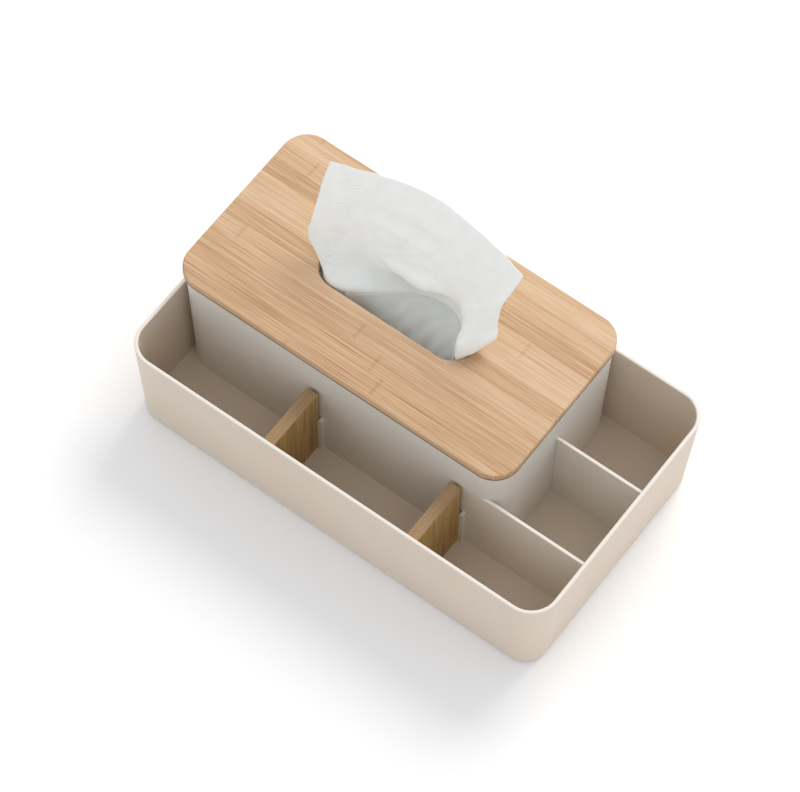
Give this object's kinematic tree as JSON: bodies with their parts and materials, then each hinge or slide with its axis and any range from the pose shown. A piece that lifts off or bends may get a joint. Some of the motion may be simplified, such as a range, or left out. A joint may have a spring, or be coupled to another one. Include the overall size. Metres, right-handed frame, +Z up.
{
  "type": "tissue box organizer",
  "caption": "Cream plastic desk tray with a raised tissue well under a slotted bamboo lid, loose wooden dividers and side pockets for small things.",
  "frame": {"origin": "on the table, under the middle of the tray", "axes": "+X along the tray's long side to the right, +Y from the front to the back, +Z up"},
  "size_m": [0.3025, 0.1764, 0.16],
  "materials": {
    "cream_plastic": "moulded, fine satin",
    "lid_bamboo": "sanded bamboo under a satin lacquer",
    "divider_wood": "sanded, oiled",
    "pad_rubber": "matte silicone",
    "stacked_tissue": "soft folded paper tissues, matte",
    "tissue_paper": "soft, matte"
  },
  "bodies": {
    "tray": {"outer_tray": "cream_plastic", "tissue_well": "cream_plastic", "front_partition": "cream_plastic", "side_partition": "cream_plastic", "front_left_pad": "pad_rubber", "front_right_pad": "pad_rubber", "back_left_pad": "pad_rubber", "back_right_pad": "pad_rubber", "tissue_stack": "stacked_tissue"},
    "lid": {"lid": "lid_bamboo"},
    "left_divider": {"left_divider": "divider_wood"},
    "right_divider": {"right_divider": "divider_wood"},
    "tissue": {"pulled_tissue": "tissue_paper"}
  },
  "joints": [
    {"name": "lid_lift", "type": "slide", "parent": "tray", "child": "lid", "axis": [0, 0, 1], "range_m": [0, 0.08]},
    {"name": "left_divider_lift", "type": "slide", "parent": "tray", "child": "left_divider", "axis": [0, 0, 1], "range_m": [0, 0.08]},
    {"name": "right_divider_lift", "type": "slide", "parent": "tray", "child": "right_divider", "axis": [0, 0, 1], "range_m": [0, 0.08]},
    {"name": "tissue_pull", "type": "slide", "parent": "lid", "child": "tissue", "axis": [0, 0, 1], "range_m": [0, 0.045]}
  ]
}
